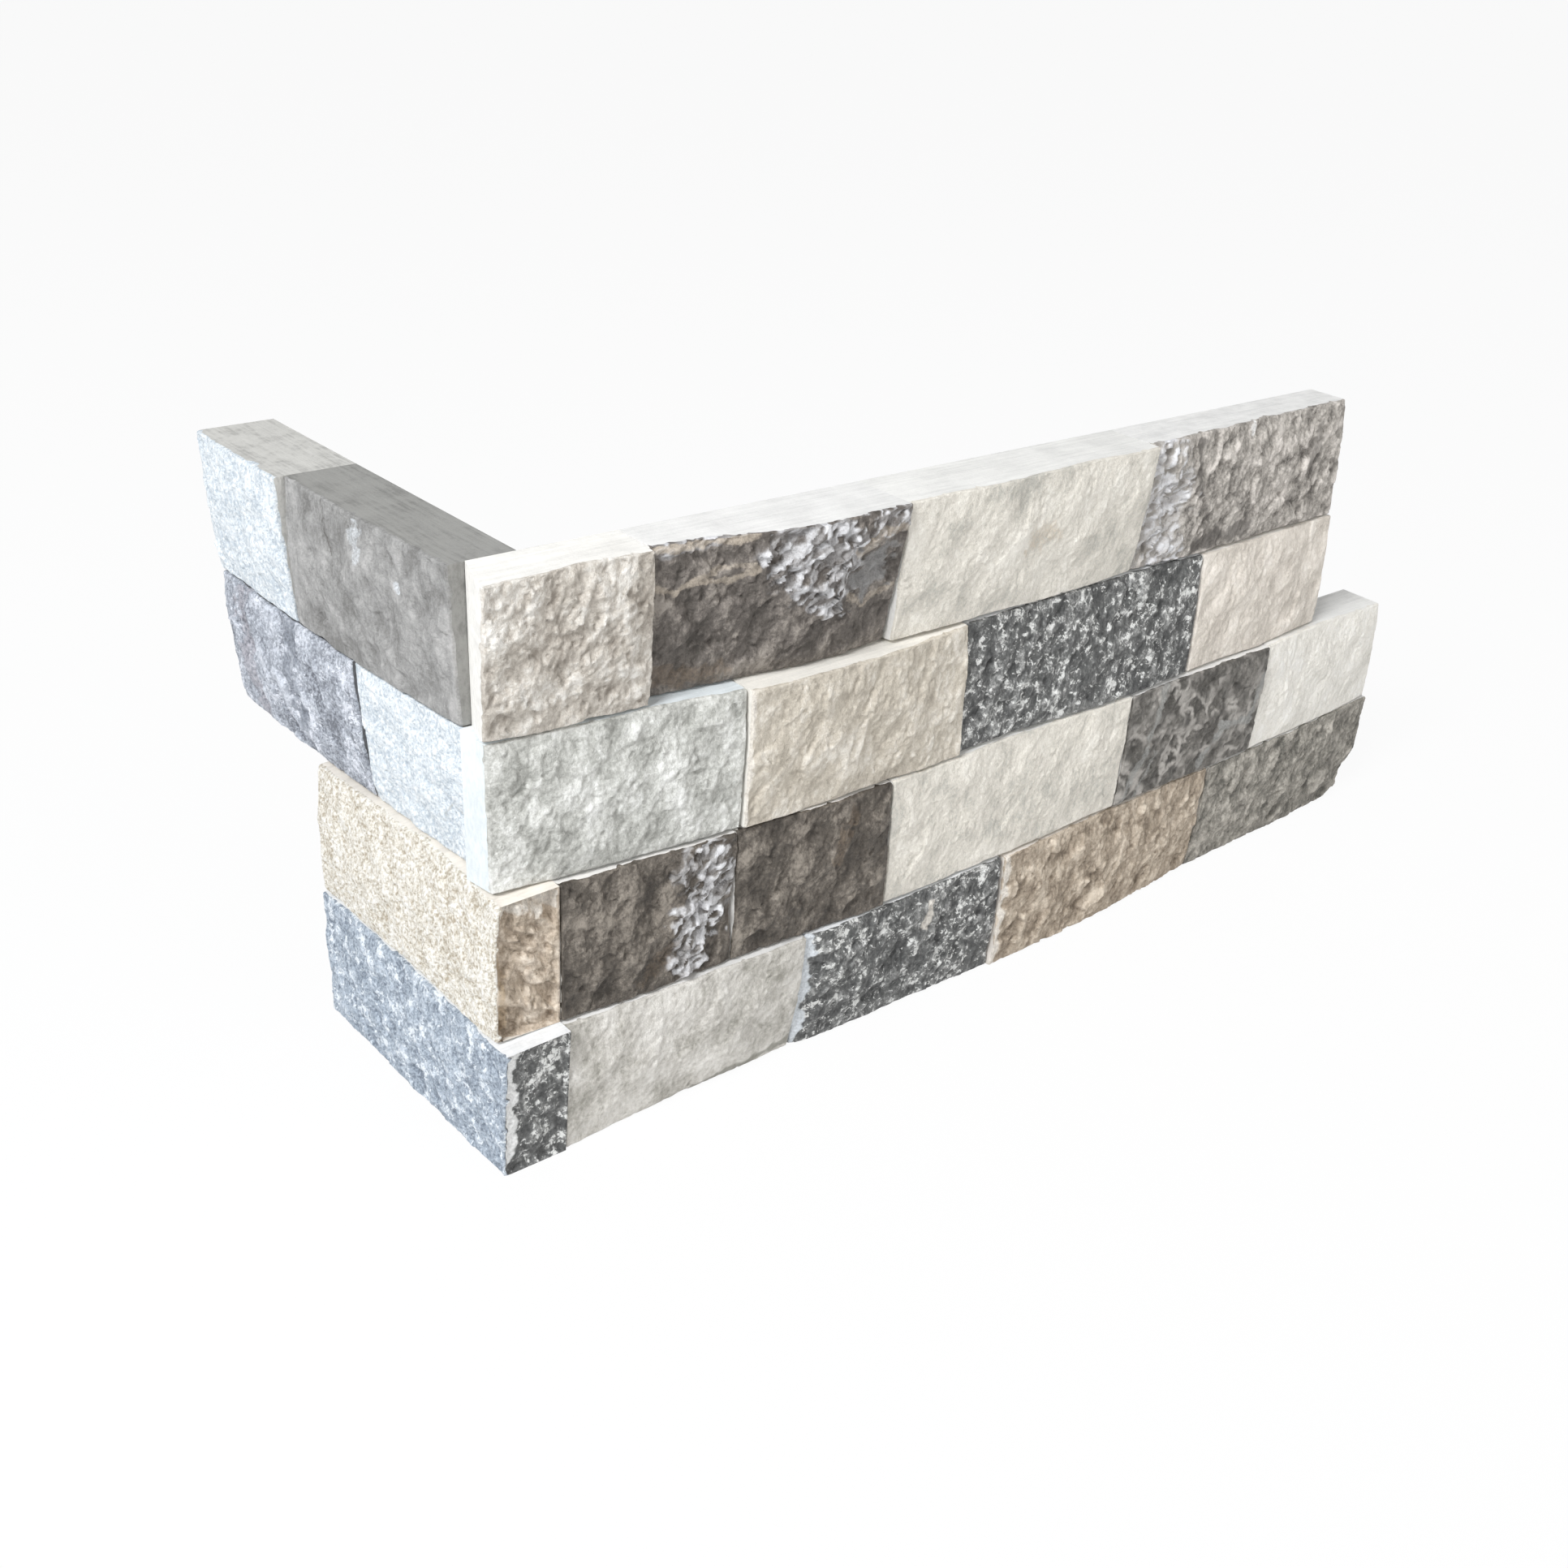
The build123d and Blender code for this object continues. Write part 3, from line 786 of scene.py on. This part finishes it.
def split_look(sh, mm, rock, grain):
    """Colour and bump of a split face: clouds, slanting streaks, grain, and the rock's specks and veins."""
    turn = (math.radians(20), math.radians(-32), math.radians(12))
    lean = sh.mapping(mm, Rotation=turn, Scale=(1.0, 1.0, 0.38))
    cloud = sh.noise(mm, rock["cloud"], 3.0, 0.55, 0.4)
    streak = sh.noise(lean, rock["cloud"] * 0.42, 5.0, 0.65, 0.5)
    threads = sh.noise(lean, 1.3, 3.0, 0.65, 0.3)
    fine = sh.noise(mm, 0.5, 3.0, 0.7)
    broad = 1 - rock.get("granular", 0.0)
    # The relief also enters the colour: hollows painted darker and crests lighter, painted shade and
    # highlight of the facets
    blend = sh.weighted(
        (cloud, 0.32 * broad), (streak, 0.28 * broad), (threads, 0.16 * broad), (grain, 1 - 0.76 * broad),
        (sh.attribute("hollow"), 0.06),
    )
    colour = sh.ramp(blend, [(0.40, rock["dark"]), (0.5, rock["mid"]), (0.60, rock["light"])])
    if "speck" in rock:
        edge = 0.68 - rock["speck_share"] * 0.3
        flecks = sh.sway(sh.noise(mm, rock["speck_size"], 4.0, 0.75, 0.6), cloud, 0.75)
        colour = sh.mix(sh.span(flecks, edge - 0.03, edge + 0.06), colour, rock["speck"])
    if "vein" in rock:
        colour = sh.mix(vein_cover(sh, mm, rock, grain), colour, rock["vein"])

    # Fresh breaks: bright and dull flakes; the bright ones are painted glints, highlights of facets that
    # catch the light
    fresh = sh.attribute("fresh")
    facet = sh.weighted((sh.attribute("glint"), 0.5), (streak, 0.25), (fine, 0.25))
    dull = shade(rock["mid"], 0.9)
    painted_glints = sh.ramp(facet, [(0.34, dull), (0.50, mingle(rock["mid"], PAINTED_GLINT, 0.35)), (0.68, PAINTED_GLINT)])
    glint_cover = sh.span(sh.sway(fresh, streak, 1.0), 0.15, 0.7)
    colour = sh.mix(sh.math("MULTIPLY", glint_cover, fresh), colour, painted_glints)

    # Stains, veins, chips and painted highlights on lit bevels and arrises, broken up by the grain
    mark = sh.attribute("mark", "Alpha")
    cover = sh.math("MULTIPLY", sh.span(sh.sway(mark, grain, 1.2), 0.1, 0.75), mark)
    tint = sh.ramp(grain, [(0.3, (0.7, 0.7, 0.7)), (0.7, (1.15, 1.15, 1.15))])
    painted = sh.mix(1.0, sh.attribute("mark", "Color"), tint, "MULTIPLY")
    return sh.mix(cover, colour, painted), sh.math("ADD", fine, grain)


def vein_cover(sh, mm, rock, grain):
    """Where bent, patchy veins run through a rock, from 0 to 1."""
    inputs = {"Vector": mm, "Scale": 1 / VEIN_BEND_SIZE, "Detail": 3.0}
    bend = sh.add("ShaderNodeTexNoise", inputs).outputs["Color"]
    inputs = {0: bend, 1: (VEIN_BEND, VEIN_BEND, VEIN_BEND), 2: mm}
    bent = sh.add("ShaderNodeVectorMath", inputs, operation="MULTIPLY_ADD").outputs[0]
    inputs = {"Vector": bent, "Scale": 1 / rock["vein_size"]}
    gap = sh.add("ShaderNodeTexVoronoi", inputs, feature="DISTANCE_TO_EDGE").outputs["Distance"]
    thin = sh.span(sh.sway(gap, grain, 0.12), rock["vein_width"], 0.02)
    patchy = sh.span(sh.noise(mm, 10.0, 2.0), 0.36, 0.58)
    return sh.math("MULTIPLY", thin, patchy)


def dress(stone, node, number, sawn_materials):
    """Gives a stone its split, sawn and, on the corner stones, broken-end materials."""
    rock_name, end_rock = STONES[node]
    side_rock = end_rock or rock_name
    if side_rock not in sawn_materials:
        seed = SAWN_SEED + len(sawn_materials)
        sawn_materials[side_rock] = rock_material("sawn_" + side_rock, side_rock, seed, sawn=True)
    stone.data.materials.append(rock_material("split_" + node, rock_name, number))
    stone.data.materials.append(sawn_materials[side_rock])
    if end_rock:
        stone.data.materials.append(rock_material("broken_end_" + node, end_rock, number + END_SEED))


# Stage

def white_for_camera(sh, shader, share):
    """Mixes a shader with plain white for what the camera sees directly, in gloss or through glass."""
    light_path = sh.add("ShaderNodeLightPath").outputs
    seen = sh.math("MAXIMUM", light_path["Is Camera Ray"], light_path["Is Glossy Ray"])
    seen = sh.math("MAXIMUM", seen, light_path["Is Transmission Ray"])
    white = sh.add("ShaderNodeEmission", {"Color": WHITE, "Strength": 1.0}).outputs[0]
    inputs = {0: sh.math("MULTIPLY", seen, share), 1: shader, 2: white}
    return sh.add("ShaderNodeMixShader", inputs).outputs[0]


def make_floor():
    """A wide floor that the camera sees as almost white, with a faint shadow."""
    corners = [(-FLOOR_HALF, -FLOOR_HALF, 0), (FLOOR_HALF, -FLOOR_HALF, 0)]
    corners += [(FLOOR_HALF, FLOOR_HALF, 0), (-FLOOR_HALF, FLOOR_HALF, 0)]
    mesh = bpy.data.meshes.new("floor")
    mesh.from_pydata(corners, [], [(0, 1, 2, 3)])
    floor = bpy.data.objects.new("floor", mesh)
    bpy.context.scene.collection.objects.link(floor)
    sh = Shader("floor")
    sh.feed(sh.principled.inputs["Base Color"], FLOOR_GREY)
    sh.feed(sh.principled.inputs["Roughness"], 0.9)
    surface = white_for_camera(sh, sh.principled.outputs[0], FLOOR_WHITE)
    sh.feed(sh.tree.nodes["Material Output"].inputs["Surface"], surface)
    mesh.materials.append(sh.material)


def make_world():
    """Soft light from all round, with white behind the floor."""
    world = bpy.data.worlds.new("studio")
    bpy.context.scene.world = world
    world.use_nodes = True
    nodes, links = world.node_tree.nodes, world.node_tree.links
    ambient = nodes["Background"]
    ambient.inputs["Color"].default_value = AMBIENT_COLOUR
    ambient.inputs["Strength"].default_value = AMBIENT
    white = nodes.new("ShaderNodeBackground")
    white.inputs["Color"].default_value = WHITE
    path = nodes.new("ShaderNodeLightPath")
    mix = nodes.new("ShaderNodeMixShader")
    links.new(path.outputs["Is Camera Ray"], mix.inputs[0])
    links.new(ambient.outputs[0], mix.inputs[1])
    links.new(white.outputs[0], mix.inputs[2])
    links.new(mix.outputs[0], nodes["World Output"].inputs["Surface"])


def direction_from(azimuth, elevation):
    """Unit vector towards a place given in degrees, from the front and upwards."""
    a, e = math.radians(azimuth), math.radians(elevation)
    return Vector((math.sin(a) * math.cos(e), -math.cos(a) * math.cos(e), math.sin(e)))


def area_light(name, azimuth, elevation, distance, size, power, colour):
    """A soft square lamp aimed at the middle of the panel."""
    direction = direction_from(azimuth, elevation)
    lamp = bpy.data.lights.new(name, "AREA")
    lamp.size = size
    lamp.energy = power
    lamp.color = colour
    light = bpy.data.objects.new(name, lamp)
    light.location = LAMP_TARGET + direction * distance
    light.rotation_euler = direction.to_track_quat("Z", "Y").to_euler()
    bpy.context.scene.collection.objects.link(light)


def make_camera():
    roll = math.radians(CAMERA_ROLL)
    back = direction_from(CAMERA_AZIMUTH, CAMERA_ELEVATION)
    side = Vector((0, 0, 1)).cross(back).normalized()
    rise = back.cross(side)
    right = side * math.cos(roll) + rise * math.sin(roll)
    up = rise * math.cos(roll) - side * math.sin(roll)
    data = bpy.data.cameras.new("camera")
    data.lens = CAMERA_LENS
    data.sensor_width = SENSOR
    camera = bpy.data.objects.new("camera", data)
    turn = Matrix((right, up, back)).transposed().to_4x4()
    camera.matrix_world = Matrix.Translation(CAMERA_PLACE) @ turn
    bpy.context.scene.collection.objects.link(camera)
    bpy.context.scene.camera = camera


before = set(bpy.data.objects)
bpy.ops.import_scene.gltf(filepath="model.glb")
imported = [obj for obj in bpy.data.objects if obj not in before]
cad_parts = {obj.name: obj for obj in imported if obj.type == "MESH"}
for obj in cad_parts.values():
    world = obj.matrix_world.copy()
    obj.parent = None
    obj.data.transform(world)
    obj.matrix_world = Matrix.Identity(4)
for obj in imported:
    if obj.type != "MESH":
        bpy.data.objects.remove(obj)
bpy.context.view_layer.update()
sawn_rocks = {}
for count, stone_name in enumerate(STONES):
    piece = build_stone(stone_name, count)
    dress(piece, stone_name, count, sawn_rocks)
    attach(piece, "root")
    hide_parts(stone_name)

make_floor()
make_world()
area_light("key", azimuth=-70, elevation=42, distance=1.5, size=0.5, power=21.0, colour=COOL_LIGHT)
area_light("fill", azimuth=15, elevation=30, distance=1.8, size=1.2, power=10.0, colour=WARM_LIGHT)
make_camera()
bpy.context.scene.view_settings.view_transform = "Standard"
